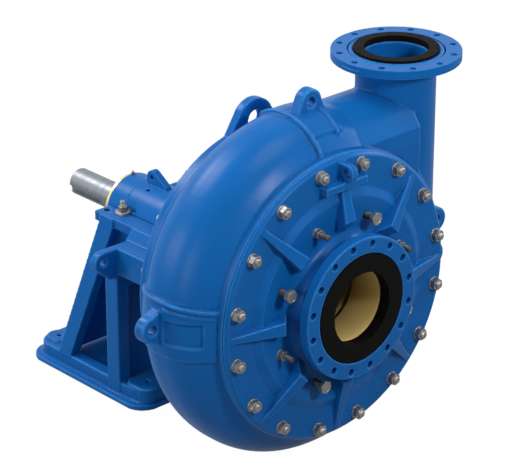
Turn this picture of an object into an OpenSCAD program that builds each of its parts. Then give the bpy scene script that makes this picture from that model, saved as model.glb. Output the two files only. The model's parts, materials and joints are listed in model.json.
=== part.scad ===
// Horizontal end-suction slurry pump with a bearing cartridge on a cast frame.
// The shaft frame inside the modules: origin on the shaft axis in the plane of
// the cover nuts, X to the right seen from the suction side, Y towards the
// drive end, Z up. on_shaft() moves it to the part's own frame, whose origin
// is the middle of the four hold-down holes on the underside of the base.

/* [Shaft line] */
// Height of the shaft axis above the underside of the base
shaft_height = 700; // [690:5:760]
// Diameter of the drive end of the shaft
drive_end_d = 119; // [110:1:122]
// Distance from the cover nuts to the drive end of the shaft
shaft_end_y = 1640; // [1600:5:1700]
// Diameter of the shaft inside the two bearings
bearing_seat_d = 130; // [126:1:134]
// Width of the keyway in the drive end
keyway_w = 32; // [20:1:36]
// Length of the keyway
keyway_len = 210; // [120:5:240]

/* [Casing] */
// Largest radius of the casing
crown_r = 727; // [715:1:740]
// Radius of the rounded shoulders of the casing section
shoulder_r = 185; // [170:1:190]
// Half of the flat width on the crown
crown_flat = 16; // [8:1:24]
// Slope of the casing flanks, measured from the shaft axis
flank_angle = 55; // [50:1:60]
// Half of the casing width at its rims
rim_half_w = 200; // [190:1:210]
// Middle plane of the casing
casing_y = 266; // [260:1:272]
// Wall thickness of the casing
casing_wall = 40; // [35:1:50]
// Radius of the round rims that take the cover and the frame plate
rim_r = 607; // [604:1:612]
// Radius of the openings at the front and the back of the casing
opening_r = 516; // [510:1:520]
// Height of the straight shoulder beside the discharge neck
shoulder_z = 705; // [700:1:712]
// Sideways end of that shoulder
shoulder_end_x = 502; // [490:1:510]

/* [Discharge] */
// Sideways distance of the discharge axis from the shaft axis
discharge_x = 555.6; // [550:0.2:560]
// Height of the discharge flange face above the shaft axis
discharge_z = 847; // [835:1:860]
// Outer radius of the discharge neck
neck_r = 165; // [160:1:168]
// Radius of the discharge bore
discharge_bore_r = 132; // [128:1:140]
// Outer diameter of the discharge flange
discharge_flange_d = 533; // [525:1:540]
// Thickness of the discharge flange
discharge_flange_t = 38; // [34:1:42]
// Bolt circle of the discharge flange
discharge_pcd = 476.3; // [476:0.1:477]
// Number of bolt holes in the discharge flange
discharge_holes = 12; // [12:4:16]
// Diameter of the flange bolt holes on both flanges
flange_hole_d = 29; // [26:1:32]

/* [Suction cover] */
// Distance of the suction flange face in front of the cover nuts
suction_face = 115.7; // [110:0.1:125]
// Outer diameter of the suction flange
suction_flange_d = 597; // [590:1:605]
// Thickness of the suction flange
suction_flange_t = 45; // [38:1:48]
// Bolt circle of the suction flange
suction_pcd = 539.8; // [539:0.1:541]
// Number of bolt holes in the suction flange
suction_holes = 16; // [12:4:20]
// Radius of the suction neck behind the flange
suction_neck_r = 250; // [245:1:252]
// Front face of the flat outer part of the cover
cover_face_y = 17; // [16:0.5:18]
// Joint face between the cover and the casing rim
cover_joint_y = 37; // [34:1:40]
// Radius of the studs that hold the cover and the frame plate
stud_circle_r = 559.7; // [558:0.1:562]
// Number of studs on each side of the casing
stud_count = 16; // [12:4:20]
// Number of ribs on the cover
rib_count = 8; // [4:4:8]
// Width of a rib at its inner end
rib_inner_w = 58; // [48:1:64]
// Width of a rib at its tip
rib_tip_w = 22; // [14:1:30]

/* [Throatbush] */
// Radius of the bore of the throatbush
throat_bore_r = 150; // [145:1:152]
// Outer radius of the tube of the throatbush
throat_tube_r = 198; // [190:1:199]
// Radius of the circle of adjusting bolts and studs
adjuster_circle_r = 351; // [345:1:356]

/* [Impeller] */
// Radius of the impeller
impeller_r = 490; // [470:1:500]
// Number of main vanes
vane_count = 5; // [4:1:5]
// Number of expelling vanes on each shroud
expel_count = 10; // [8:1:12]
// Clear width between the shrouds
passage_w = 190; // [180:2:196]
// Thickness of each shroud
shroud_t = 34; // [28:1:36]
// Height of the expelling vanes
expel_h = 14; // [10:1:15]

/* [Bearing cartridge] */
// Outer radius of the bearing housing
housing_r = 145; // [143:0.5:146]
// Pump end of the bearing housing
housing_y0 = 700; // [690:5:720]
// Drive end of the bearing housing
housing_y1 = 1185; // [1175:5:1195]
// Outer diameter of the two roller bearings
bearing_od = 230; // [226:2:234]
// Width of each bearing
bearing_w = 64; // [58:2:68]
// Running clearance of the housing in its cradle
cradle_fit = 0.05; // [0.03:0.01:0.08]

/* [Frame] */
// Width of the base flange
base_w = 762; // [750:2:780]
// Length of the base flange
base_l = 769; // [760:1:780]
// Front edge of the base flange in the shaft frame
base_y0 = 801; // [795:1:806]
// Thickness of the base flange
base_flange_t = 23; // [20:1:26]
// Height of the corner pads above the underside
pad_h = 90; // [80:1:95]
// Sideways distance between the hold-down holes
anchor_x = 530; // [520:2:540]
// Lengthwise distance between the hold-down holes
anchor_y = 596; // [590:2:600]
// Diameter of the hold-down holes
anchor_d = 22; // [20:1:26]
// Height of the cradle top above the shaft axis
cradle_top = 50; // [46:1:52]
// Half of the width of the cradle
cradle_half_w = 230; // [225:1:235]
// Drive end of the cradle
cradle_y1 = 1256; // [1250:1:1262]

/* [Hidden] */
$fn = 96;

// Distance of the base's middle from the plane of the cover nuts
base_mid_y = base_y0 + base_l / 2;
// Running clearance between the rotating parts and the fixed ones
run_gap = 0.3;
// Play of a bolt in a clearance hole, on the radius
bolt_play = 1.5;

// Fasteners: radius of the thread, width across flats, nut height, washer
m30_r = 15;
m30_flats = 46;
m30_nut_h = 24;
m30_washer_r = 28;
m30_washer_t = 5;
m24_r = 12;
m24_flats = 36;
m24_nut_h = 21;
m24_washer_r = 22;
m24_washer_t = 4;
m20_r = 10;
m20_flats = 30;
m20_nut_h = 18;
// Play of a nut or a washer on its stud, on the radius
thread_play = 0.05;

// Casing section
front_rim_y = casing_y - rim_half_w;
rear_rim_y = casing_y + rim_half_w;
rear_joint_y = rear_rim_y + front_rim_y - cover_joint_y;
cavity_half_w = rim_half_w - casing_wall;
stud_phase = 360 / stud_count / 2 + 90;

// Frame plate
plate_t = 45;
plate_r = 592;
plate_back_y = rear_joint_y + plate_t;
arch_r = 98;
arch_z = 612;
arch_eye_r = 38;
arch_eye_z = 623;
arch_side_x = arch_r * cos(25);
arch_side_z = arch_z + arch_r * sin(25);
arch_foot_half = 142;
arch_foot_z = 572;
arch_t = 40;

// Cover
dish_out_r = 465;
dish_in_r = 430;
dish_rise_y = -1;
dish_low_r = 300;
dish_low_y = 12;
cover_back_y = 62;
rim_bevel = 16;
spigot_r = opening_r - run_gap;
joint_recess_r = 230;
joint_recess_d = 50;
rib_in_crest_r = 348;
rib_in_base_r = 292;
rib_tip_r = 590;
rib_crest_y = -49;

// Adjusting gear: local face of the cover under the nuts
adjuster_face_y = 9;
adjuster_head_y = -58;
adjuster_head_h = 20;
adjuster_flats = 50;
throat_stud_end_y = -62;
throat_disc_y0 = cover_back_y + 2;
throat_disc_y1 = 105;

// Impeller
front_shroud_y = casing_y - passage_w / 2 - shroud_t;
back_shroud_y = casing_y + passage_w / 2;
liner_y0 = back_shroud_y + shroud_t + expel_h + 4;
liner_y1 = liner_y0 + 40;
eye_r = throat_bore_r + 2;
eye_wall = 24;
throat_travel = 10;
cartridge_travel = 3;
eye_y0 = throat_disc_y1 + throat_travel + cartridge_travel + 1.5;
eye_y1 = 206;
boss_r = 105;
nose_r = 45;
nose_y0 = 215;

// Stuffing box, sleeve and gland
sleeve_r = 62;
sleeve_y0 = back_shroud_y + shroud_t;
sleeve_y1 = 640;
sleeve_bore_r = 50;
box_r = 117;
box_bore_r = 84;
box_flange_r = 172;
box_flange_t = 22;
box_neck_y = liner_y1 - 6;
lantern_y0 = box_neck_y + 2;
lantern_y1 = lantern_y0 + 26;
packing_w = 20;
packing_n = 4;
packing_y1 = lantern_y1 + packing_w * packing_n;
gland_len = 52;
gland_y1 = packing_y1 + gland_len;
gland_flange_r = 128;
gland_stud_r = 8;
gland_stud_circle = 108;

// Bearings and shaft
seat_r = bearing_seat_d / 2;
bearing_r = bearing_od / 2;
pump_bearing_y = housing_y0 + 16;
drive_bearing_y = housing_y1 - 16 - bearing_w;
mid_shaft_r = seat_r + 8;
roller_n = 18;
roller_r = 11;
roller_circle = (seat_r + bearing_r) / 2;
race_gap = 0.05;
drive_cover_y1 = 1284;
ring_y0 = drive_cover_y1 + 2;
ring_y1 = ring_y0 + 12;
ring_r = 140;

// Cradle clamps
clamp_x = 162;
clamp_y = [830, 1150];
clamp_washer_r = 34;
clamp_washer_t = 12;
clamp_ledge_x = 126;
spare_hole_x = 185;
spare_hole_y = 1225;

// Frame sizes in the shaft frame
base_z = -shaft_height;
flange_z = base_z + base_flange_t;
pad_z = base_z + pad_h;
foot_half_w = 345;
foot_y0 = base_y0 + 20;
foot_y1 = base_y0 + base_l - 20;
foot_inner = 60;
floor_z = base_z + 58;
shelf_z = 6;
shelf_x = 350;
shelf_y1 = 1003;
beam_z = -115;
beam_web = 24;
beam_in_x = 178;
post_y0 = 975;
post_y1 = 1052;
post_in_x = 285;
leg_lean = 0.165;
leg_top_x = 236;
leg_t = 58;
leg_rear_y = 1217;
leg_bend_z = 21;
leg_foot_z = pad_z - 20;
leg_slope = 0.269;
wall_y = 1015;
lintel_z = -190;
rear_wall_t = 26;
rear_wall_z = -150;
rear_pad_w = 100;
rear_pad_l = 116;
front_pad_w = 150;
side_lug_y = 966;
side_lug_t = 38;
side_lug_hole = [422, -39];
side_lug_hole_r = 17.5;
cradle_y0 = 740;
cradle_shell_r = 192;

// Moves the shaft frame to the part's own frame
module on_shaft() {
    translate([0, -base_mid_y, shaft_height]) children();
}

// Turned body about the shaft axis from an outline of (radius, y)
module turned() {
    rotate([-90, 0, 0]) rotate_extrude($fn = 180) children();
}

// Plain cylinder about the shaft axis
module disc(r, y0, y1) {
    translate([0, y0, 0]) rotate([-90, 0, 0]) cylinder(r = r, h = y1 - y0);
}

// Ring about the shaft axis
module ring(r_out, r_in, y0, y1) {
    difference() {
        disc(r_out, y0, y1);
        disc(r_in, y0 - 1, y1 + 1);
    }
}

// Hexagon about the shaft axis, given its width across flats
module hex(flats, y0, y1) {
    translate([0, y0, 0]) rotate([-90, 0, 0]) cylinder(r = flats / sqrt(3), h = y1 - y0, $fn = 6);
}

// Places children on a circle about the shaft axis
module around(r, n, phase) {
    for (i = [0 : n - 1])
        rotate([0, -(phase + i * 360 / n), 0]) translate([r, 0, 0]) children();
}

// Plate across the shaft from an outline of (x, z)
module plate(y0, y1) {
    translate([0, y1, 0]) rotate([90, 0, 0]) linear_extrude(height = y1 - y0) children();
}

// Bar along X from an outline of (y, z)
module bar_x(x0, x1) {
    translate([x0, 0, 0]) rotate([90, 0, 90]) linear_extrude(height = x1 - x0) children();
}

// Both sides of the frame
module both_sides() {
    children();
    mirror([1, 0, 0]) children();
}

// Square with round corners
module rounded(w, h, r) {
    translate([-w / 2 + r, -h / 2]) square([w - 2 * r, h]);
    translate([-w / 2, -h / 2 + r]) square([w, h - 2 * r]);
    for (sx = [-1, 1])
        for (sy = [-1, 1])
            translate([sx * (w / 2 - r), sy * (h / 2 - r)]) circle(r = r);
}

// Casing section as (radius, y): crown radius, shoulder arc and half width
module section(crown, arc, half_w, low) {
    tan_u = crown_flat + arc * sin(flank_angle);
    tan_r = crown - arc * (1 - cos(flank_angle));
    rim = tan_r - (half_w - tan_u) * tan(flank_angle);
    for (side = [-1, 1])
        translate([crown - arc, casing_y + side * crown_flat]) circle(r = arc, $fn = 180);
    polygon([[low, casing_y - half_w], [rim, casing_y - half_w], [tan_r, casing_y - tan_u],
        [crown, casing_y - crown_flat], [crown, casing_y + crown_flat],
        [tan_r, casing_y + tan_u], [rim, casing_y + half_w], [low, casing_y + half_w]]);
}

// Body of revolution of the casing, raised by a given height
module casing_round(lift) {
    turned() section(crown_r + lift, shoulder_r + lift, rim_half_w, 450);
}

// Straight shoulder beside the discharge neck
shoulder_start_x = 180;
module casing_shoulder() {
    bar_x(shoulder_start_x, shoulder_end_x)
        mirror([1, -1, 0]) section(shoulder_z, shoulder_r, rim_half_w - 1, 300);
}

// Space inside the casing
module casing_cavity() {
    turned() section(crown_r - casing_wall, shoulder_r - casing_wall, cavity_half_w, 1);
    disc(opening_r, cover_joint_y - 1, rear_joint_y + 1);
}

// Lifting lugs on the casing: angles and front faces, the pair at the right is one plate
lug_hole_r = 21;
lug_reach = 41;
lug_circle = crown_r + lug_reach;
lug_end_r = 55;
lug_t = 50;
lug_root_half = 104;
lug_groups = [[[88], 207], [[178], 250], [[3.4, -8.5], 207]];
module casing_lugs() {
    for (group = lug_groups)
        plate(group[1], group[1] + lug_t) for (angle = group[0]) rotate(angle) {
            translate([lug_circle, 0]) circle(r = lug_end_r);
            polygon([[lug_circle + 10, lug_end_r - 1], [lug_circle + 10, 1 - lug_end_r],
                [crown_r - 60, -lug_root_half], [crown_r - 60, lug_root_half]]);
        }
}

module lug_holes() {
    for (group = lug_groups)
        for (angle = group[0])
            rotate([0, -angle, 0]) translate([lug_circle, 0, 0])
                disc(lug_hole_r, group[1] - 1, group[1] + lug_t + 1);
}

// Raised bands with ridges at the left and at the top
block_reach = 400;
band_inner_r = 500;
ridge_y0 = 60;
band_lift = 9;
ridge_lift = 16;
low_ridge_lift = 13;
left_band_z = [-95, 118];
left_panel_y = [92, 232];
left_panel_z = [-30, 68];
top_band_x = [-50, 105];
top_band_y = 112;
module ridge(angle, width, y0, y1) {
    rotate([0, -angle, 0]) translate([band_inner_r, y0, -width / 2]) cube([block_reach, y1 - y0, width]);
}

module casing_bands() {
    intersection() {
        casing_round(band_lift);
        union() {
            difference() {
                translate([-band_inner_r - block_reach, 0, left_band_z[0]])
                    cube([block_reach, 600, left_band_z[1] - left_band_z[0]]);
                translate([-band_inner_r - block_reach - 1, left_panel_y[0], left_panel_z[0]])
                    cube([block_reach + 2, left_panel_y[1] - left_panel_y[0],
                        left_panel_z[1] - left_panel_z[0]]);
            }
            translate([top_band_x[0], top_band_y, band_inner_r])
                cube([top_band_x[1] - top_band_x[0], block_reach - top_band_y, block_reach]);
        }
    }
    intersection() {
        casing_round(ridge_lift);
        union() {
            ridge(169.6, 15, ridge_y0, 440);
            ridge(95.3, 18, ridge_y0, block_reach);
            ridge(84, 16, 100, 330);
        }
    }
    intersection() {
        casing_round(low_ridge_lift);
        ridge(171.7, 8, ridge_y0, ridge_y0 + 180);
    }
}

collar_r = 195;
collar_t = 20;
joint_outer_r = 176;
joint_inset = 17;
module volute_casing() {
    color("royalblue") difference() {
        union() {
            casing_round(0);
            disc(rim_r, cover_joint_y, rear_joint_y);
            casing_shoulder();
            translate([discharge_x, casing_y, 0])
                cylinder(r = neck_r, h = discharge_z - 5);
            translate([discharge_x, casing_y, discharge_z - collar_t - 1])
                cylinder(r = collar_r, h = collar_t);
            casing_bands();
            casing_lugs();
        }
        casing_cavity();
        translate([discharge_x, casing_y, 0]) cylinder(r = discharge_bore_r, h = discharge_z);
        translate([discharge_x, casing_y, discharge_z - joint_inset])
            cylinder(r = joint_outer_r, h = joint_inset + 1);
        around(stud_circle_r, stud_count, stud_phase) {
            disc(m30_r, cover_joint_y - 1, cover_joint_y + 56);
            disc(m20_r, rear_joint_y - 56, rear_joint_y + 1);
        }
        lug_holes();
    }
}

// Cover outline as (radius, y)
fillet_r = 50;
module cover_outline() {
    difference() {
        polygon([[throat_tube_r + 0.5, -suction_face], [suction_flange_d / 2 - 3, -suction_face],
            [suction_flange_d / 2, 3 - suction_face],
            [suction_flange_d / 2, suction_flange_t - suction_face],
            [suction_neck_r, suction_flange_t - suction_face],
            [suction_neck_r, dish_low_y - fillet_r], [suction_neck_r, dish_low_y],
            [dish_low_r, dish_low_y], [dish_in_r, dish_rise_y], [dish_out_r, cover_face_y],
            [rim_r - rim_bevel, cover_face_y], [rim_r, cover_joint_y - 4],
            [rim_r - 6, cover_joint_y - 4], [rim_r - 6, cover_joint_y], [spigot_r, cover_joint_y],
            [spigot_r, cover_back_y], [throat_tube_r + 0.5, cover_back_y]]);
        translate([joint_recess_r - 60, -suction_face - 1]) square([60, joint_recess_d + 1]);
    }
    difference() {
        translate([suction_neck_r - 5, dish_low_y - fillet_r])
            square([fillet_r + 5, fillet_r + 20]);
        translate([suction_neck_r + fillet_r, dish_low_y - fillet_r])
            circle(r = fillet_r, $fn = 96);
    }
}

// One rib of the cover, along +X
module cover_rib() {
    intersection() {
        translate([0, 0, -60]) linear_extrude(height = 120)
            polygon([[rib_in_crest_r, rib_crest_y], [rib_tip_r, cover_face_y],
                [rib_tip_r, cover_face_y + 12], [rib_in_base_r, cover_face_y + 12],
                [rib_in_base_r, dish_low_y]]);
        plate(rib_crest_y - 20, cover_joint_y)
            polygon([[rib_in_base_r - 10, rib_inner_w / 2], [rib_in_crest_r, rib_inner_w / 2],
                [rib_tip_r + 5, rib_tip_w / 2], [rib_tip_r + 5, -rib_tip_w / 2],
                [rib_in_crest_r, -rib_inner_w / 2], [rib_in_base_r - 10, -rib_inner_w / 2]]);
    }
}

// Lifting eye on the front of the cover, a plate along the shaft
eye_x0 = -12;
eye_t = 33;
eye_y = -28;
eye_z = 550;
eye_end_r = 35;
eye_hole_r = 20;
module cover_eye() {
    bar_x(eye_x0, eye_x0 + eye_t) {
        translate([eye_y, eye_z]) circle(r = eye_end_r);
        translate([eye_y, eye_z - eye_end_r])
            square([cover_face_y + 5 - eye_y, 2 * eye_end_r]);
    }
}

module cover_plate() {
    color("royalblue") difference() {
        union() {
            turned() cover_outline();
            for (i = [0 : rib_count - 1])
                rotate([0, -i * 360 / rib_count, 0]) cover_rib();
            cover_eye();
            name_bar();
        }
        around(stud_circle_r, stud_count, stud_phase)
            disc(m30_r + bolt_play, cover_face_y - 60, cover_joint_y + 1);
        around(suction_pcd / 2, suction_holes, 360 / suction_holes / 2)
            disc(flange_hole_d / 2, -suction_face - 1, suction_flange_t - suction_face + 1);
        around(adjuster_circle_r, 4, 22.5) {
            disc(m24_r + bolt_play, -40, cover_back_y + 1);
            disc(m24_washer_r + 2, -40, adjuster_face_y);
        }
        around(adjuster_circle_r, 4, 67.5)
            disc(m30_r + thread_play, -40, cover_back_y + 1);
        for (angle = [65, 248])
            rotate([0, -angle, 0]) translate([421, 0, 0]) disc(4, -20, 30);
        translate([eye_x0 - 1, eye_y, eye_z]) rotate([0, 90, 0])
            cylinder(r = eye_hole_r, h = eye_t + 2);
    }
}

// Bare name bar cast on the cover below the lifting eye
name_bar_x = [-113, 110];
name_bar_y0 = -27;
name_bar_z = [479, 511];
module name_bar() {
    translate([0, 0, name_bar_z[0]]) linear_extrude(height = name_bar_z[1] - name_bar_z[0])
        translate([(name_bar_x[0] + name_bar_x[1]) / 2, (name_bar_y0 + cover_face_y + 4) / 2])
            rounded(name_bar_x[1] - name_bar_x[0], cover_face_y + 4 - name_bar_y0, 4);
}

stud_depth = 50;
module cover_studs() {
    color("lightgray") around(stud_circle_r, stud_count, stud_phase)
        disc(m30_r - thread_play, cover_face_y - m30_washer_t - m30_nut_h - 11, cover_joint_y + stud_depth);
}

module cover_nuts() {
    color("lightgray") around(stud_circle_r, stud_count, stud_phase) difference() {
        hex(m30_flats, cover_face_y - m30_washer_t - m30_nut_h, cover_face_y - m30_washer_t);
        disc(m30_r, cover_face_y - 60, cover_face_y);
    }
}

module cover_washers() {
    color("lightgray") around(stud_circle_r, stud_count, stud_phase)
        ring(m30_washer_r, m30_r + 1, cover_face_y - m30_washer_t, cover_face_y);
}

module rear_studs() {
    color("lightgray") around(stud_circle_r, stud_count, stud_phase)
        disc(m20_r - thread_play, rear_joint_y - 50, plate_back_y + m20_nut_h + 9);
}

module rear_nuts() {
    color("lightgray") around(stud_circle_r, stud_count, stud_phase) difference() {
        hex(m20_flats, plate_back_y, plate_back_y + m20_nut_h);
        disc(m20_r, plate_back_y - 1, plate_back_y + 60);
    }
}

// Rubber joint rings at the two pipe flanges
intake_joint_r = 227;
intake_joint_in = 152;
module intake_joint() {
    color("black") ring(intake_joint_r, intake_joint_in, -suction_face, joint_recess_d - suction_face);
}

joint_rise = 8;
module discharge_joint() {
    color("black") translate([discharge_x, casing_y, discharge_z - joint_inset])
        difference() {
            cylinder(r = joint_outer_r - run_gap, h = joint_inset + joint_rise);
            translate([0, 0, -1]) cylinder(r = discharge_bore_r, h = joint_inset + joint_rise + 2);
        }
}

// Half of the discharge flange, split with a stepped lap
lap_top_angle = 10.2;
lap_low_angle = -12;
flange_ring_r = 200;
flange_lip_r = neck_r + 3;
module flange_layer(z0, z1, inner, angle) {
    translate([0, 0, z0]) linear_extrude(height = z1 - z0) difference() {
        circle(r = discharge_flange_d / 2, $fn = 180);
        circle(r = inner, $fn = 180);
        for (i = [0 : discharge_holes - 1])
            rotate(i * 360 / discharge_holes) translate([discharge_pcd / 2, 0])
                circle(r = flange_hole_d / 2, $fn = 32);
        rotate(angle) translate([-400, -0.5]) square([800, 400]);
    }
}

module flange_half() {
    translate([discharge_x, casing_y, discharge_z]) {
        flange_layer(-discharge_flange_t / 2, 0, flange_ring_r, lap_top_angle);
        flange_layer(-collar_t - 1.5, -discharge_flange_t / 2, flange_ring_r, lap_low_angle);
        flange_layer(-discharge_flange_t, -collar_t - 1.5, flange_lip_r, lap_low_angle);
    }
}

module discharge_flange_front() {
    color("royalblue") flange_half();
}

module discharge_flange_back() {
    color("royalblue")
        translate([discharge_x, casing_y, 0]) rotate([0, 0, 180])
            translate([-discharge_x, -casing_y, 0]) flange_half();
}

// Throatbush: tube and wear disc in one casting
module throatbush() {
    color("goldenrod") difference() {
        turned() polygon([[throat_bore_r, joint_recess_d - suction_face + 4],
            [throat_tube_r, joint_recess_d - suction_face + 4],
            [throat_tube_r, throat_disc_y0], [opening_r - 4, throat_disc_y0],
            [opening_r - 4, throat_disc_y1], [throat_bore_r + 30, throat_disc_y1],
            [throat_bore_r, throat_disc_y1 - 12]]);
        around(adjuster_circle_r, 4, 22.5)
            disc(m24_r, throat_disc_y0 - 1, throat_disc_y0 + 26);
    }
}

module throatbush_studs() {
    color("silver") around(adjuster_circle_r, 4, 22.5)
        disc(m24_r - thread_play, throat_stud_end_y, throat_disc_y0 + 24);
}

module throatbush_nuts() {
    color("silver") around(adjuster_circle_r, 4, 22.5) {
        difference() {
            hex(m24_flats, adjuster_face_y - m24_washer_t - m24_nut_h,
                adjuster_face_y - m24_washer_t);
            disc(m24_r + thread_play, -40, 20);
        }
        ring(m24_washer_r, m24_r + 1, adjuster_face_y - m24_washer_t, adjuster_face_y);
    }
}

module adjusting_bolts() {
    color("silver") around(adjuster_circle_r, 4, 67.5) {
        hex(adjuster_flats, adjuster_head_y, adjuster_head_y + adjuster_head_h);
        disc(m30_r, adjuster_head_y + adjuster_head_h - 1, throat_disc_y0);
    }
}

// Point of a vane's centre line, by its share of the way out
vane_in_r = 205;
vane_wrap = 105;
function vane_r(t) = vane_in_r + (impeller_r - vane_in_r) * t;
function vane_a(t) = -vane_wrap * ln(vane_r(t) / vane_in_r) / ln(impeller_r / vane_in_r);
function vane_point(t, off) = [
    vane_r(t) * cos(vane_a(t)) + off * sin(vane_a(t) - 40),
    vane_r(t) * sin(vane_a(t)) - off * cos(vane_a(t) - 40)];
vane_half_t = 20;
vane_steps = 10;
module vane() {
    intersection() {
        polygon(concat(
            [for (i = [0 : vane_steps]) vane_point(i / vane_steps, vane_half_t)],
            [for (i = [vane_steps : -1 : 0]) vane_point(i / vane_steps, -vane_half_t)]));
        circle(r = impeller_r - 3, $fn = 180);
    }
}

// Straight raked expelling vane on a shroud face
expel_in_r = 235;
expel_t = 26;
module expel_ring(y0, y1) {
    plate(y0, y1) intersection() {
        for (i = [0 : expel_count - 1])
            rotate(i * 360 / expel_count) translate([expel_in_r, 0]) rotate(-28)
                square([impeller_r, expel_t]);
        circle(r = impeller_r - 4, $fn = 180);
    }
}

// Closed impeller: two shrouds, main vanes and expelling vanes
module impeller() {
    color("dimgray") difference() {
        union() {
            turned() polygon([[eye_r, eye_y0], [eye_r + eye_wall, eye_y0],
                [eye_r + eye_wall, front_shroud_y], [impeller_r, front_shroud_y],
                [impeller_r, front_shroud_y + shroud_t], [eye_r + 90, front_shroud_y + shroud_t],
                [eye_r + 50, front_shroud_y + shroud_t + 6], [eye_r + 24, eye_y1 - 12],
                [eye_r + 6, eye_y1], [eye_r, eye_y1]]);
            turned() polygon([[0, nose_y0 - 30], [boss_r * 0.45, nose_y0 - 22],
                [boss_r, back_shroud_y - 60],
                [boss_r + 60, back_shroud_y], [impeller_r, back_shroud_y],
                [impeller_r, back_shroud_y + shroud_t], [0, back_shroud_y + shroud_t]]);
            plate(front_shroud_y + shroud_t - 2, back_shroud_y + 2)
                for (i = [0 : vane_count - 1]) rotate(i * 360 / vane_count) vane();
            expel_ring(front_shroud_y - expel_h, front_shroud_y + 1);
            expel_ring(back_shroud_y + shroud_t - 1, back_shroud_y + shroud_t + expel_h);
        }
        disc(nose_r, nose_y0, back_shroud_y + shroud_t + 1);
    }
}

module frame_plate_liner() {
    color("goldenrod") ring(opening_r - 4, box_r + run_gap, liner_y0, liner_y1);
}

// Frame plate: thick disc with the lifting arch
module frame_plate() {
    color("royalblue") difference() {
        union() {
            disc(plate_r, rear_joint_y, plate_back_y);
            disc(spigot_r, liner_y1 + 1, rear_joint_y + 1);
            plate(plate_back_y - arch_t, plate_back_y) {
                translate([0, arch_z]) circle(r = arch_r);
                polygon([[-arch_foot_half, arch_foot_z], [-arch_side_x, arch_side_z],
                    [arch_side_x, arch_side_z], [arch_foot_half, arch_foot_z],
                    [arch_foot_half, arch_foot_z - 90], [-arch_foot_half, arch_foot_z - 90]]);
            }
        }
        disc(box_r + run_gap, liner_y1, plate_back_y + 1);
        around(stud_circle_r, stud_count, stud_phase)
            disc(m20_r + bolt_play, rear_joint_y - 1, plate_back_y + 1);
        translate([0, 0, arch_eye_z]) disc(arch_eye_r, plate_back_y - arch_t - 1, plate_back_y + 1);
        both_sides() frame_bolt_places() disc(m24_r, plate_back_y - 34, plate_back_y + 1);
        around(box_stud_circle, 4, 45) disc(m16_r, plate_back_y - 30, plate_back_y + 1);
    }
}

// Bolts that join the frame's two beams to the frame plate
beam_flange_t = 28;
beam_flange = [180, 420, -200, 80];
module frame_bolt_places() {
    for (x = [beam_flange[0] + 32, beam_flange[1] - 32])
        for (z = [beam_flange[2] + 30, beam_flange[3] - 30])
            translate([x, 0, z]) children();
}

frame_bolt_depth = 30;
module frame_plate_bolts() {
    color("lightgray") both_sides() frame_bolt_places() {
        disc(m24_r - thread_play, plate_back_y - frame_bolt_depth, plate_back_y + beam_flange_t + 1);
        hex(m24_flats, plate_back_y + beam_flange_t, plate_back_y + beam_flange_t + 16);
    }
}

// Stuffing box with its flange and studs
m16_r = 8;
box_stud_circle = 145;
module stuffing_box() {
    color("slategray") difference() {
        union() {
            disc(box_r, liner_y0 + 4, packing_y1 + 6);
            disc(box_flange_r, plate_back_y, plate_back_y + box_flange_t);
        }
        disc(sleeve_r + 3, liner_y0, box_neck_y + 1);
        disc(box_bore_r, box_neck_y, packing_y1 + 8);
        around(box_stud_circle, 4, 45)
            disc(m16_r + bolt_play / 2, plate_back_y - 1, plate_back_y + box_flange_t + 1);
        around(gland_stud_circle, 4, 0) disc(gland_stud_r, packing_y1 - 30, packing_y1 + 8);
    }
}

module lantern_ring() {
    color("burlywood") difference() {
        ring(box_bore_r - run_gap, sleeve_r + run_gap, lantern_y0, lantern_y1);
        around(0.001, 8, 0) translate([0, (lantern_y0 + lantern_y1) / 2, 0])
            rotate([0, 90, 0]) cylinder(r = 5, h = box_bore_r + 10, $fn = 24);
    }
}

module packing_rings() {
    color("darkslategray") for (i = [0 : packing_n - 1])
        ring(box_bore_r - 0.2, sleeve_r + run_gap, lantern_y1 + i * packing_w,
            lantern_y1 + (i + 1) * packing_w);
}

module gland() {
    color("slategray") difference() {
        union() {
            ring(box_bore_r - run_gap, sleeve_r + 2, packing_y1, gland_y1 - 18);
            ring(gland_flange_r, sleeve_r + 2, gland_y1 - 22, gland_y1);
        }
        around(gland_stud_circle, 4, 0) disc(gland_stud_r + bolt_play / 2, packing_y1, gland_y1 + 1);
    }
}

module gland_studs() {
    color("lightgray") around(gland_stud_circle, 4, 0) {
        disc(gland_stud_r - thread_play, packing_y1 - 28, gland_y1 + 24);
        hex(24, gland_y1, gland_y1 + 13);
    }
    color("lightgray") around(box_stud_circle, 4, 45) {
        disc(m16_r - thread_play, plate_back_y - 28, plate_back_y + box_flange_t + 1);
        hex(24, plate_back_y + box_flange_t, plate_back_y + box_flange_t + 10);
    }
}

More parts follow.
